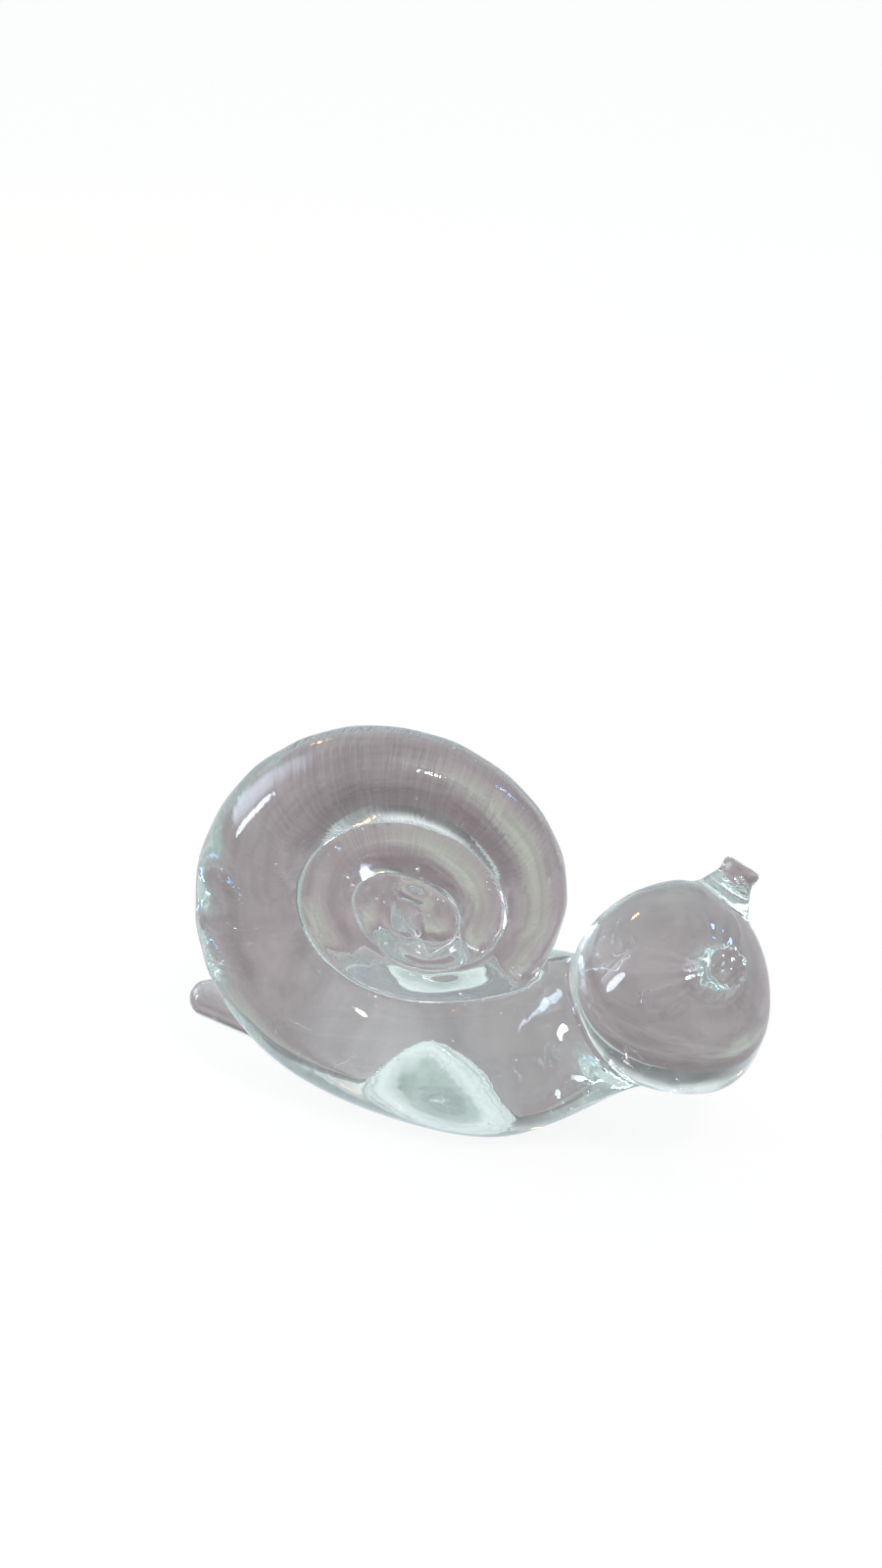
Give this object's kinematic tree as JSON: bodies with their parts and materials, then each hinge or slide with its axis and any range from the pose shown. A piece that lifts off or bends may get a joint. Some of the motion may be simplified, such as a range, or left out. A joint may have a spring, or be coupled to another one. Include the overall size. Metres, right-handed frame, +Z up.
{
  "type": "snail figurine",
  "caption": "Clear solid glass snail figurine: a tapering rope of hot-worked glass coiled flat for the shell, with a round head bulb, pulled feelers and a pinched tail.",
  "frame": {"origin": "middle of the ground face that the figurine stands on", "axes": "+X towards the head, +Z up, +Y to the snail's left; the coil lies in the XZ plane"},
  "size_m": [0.1257, 0.0444, 0.0918],
  "materials": {
    "clear_glass": "fire-polished clear glass, glossy, with a faint grey-green cast in the thick parts; only the ground face is cut flat and polished"
  },
  "bodies": {
    "root": {"foot": "clear_glass", "neck": "clear_glass", "head": "clear_glass", "far_feeler": "clear_glass", "near_feeler": "clear_glass", "outer_turn": "clear_glass", "inner_turn": "clear_glass", "core_turn": "clear_glass", "rope_tip": "clear_glass", "tail": "clear_glass"}
  },
  "joints": []
}
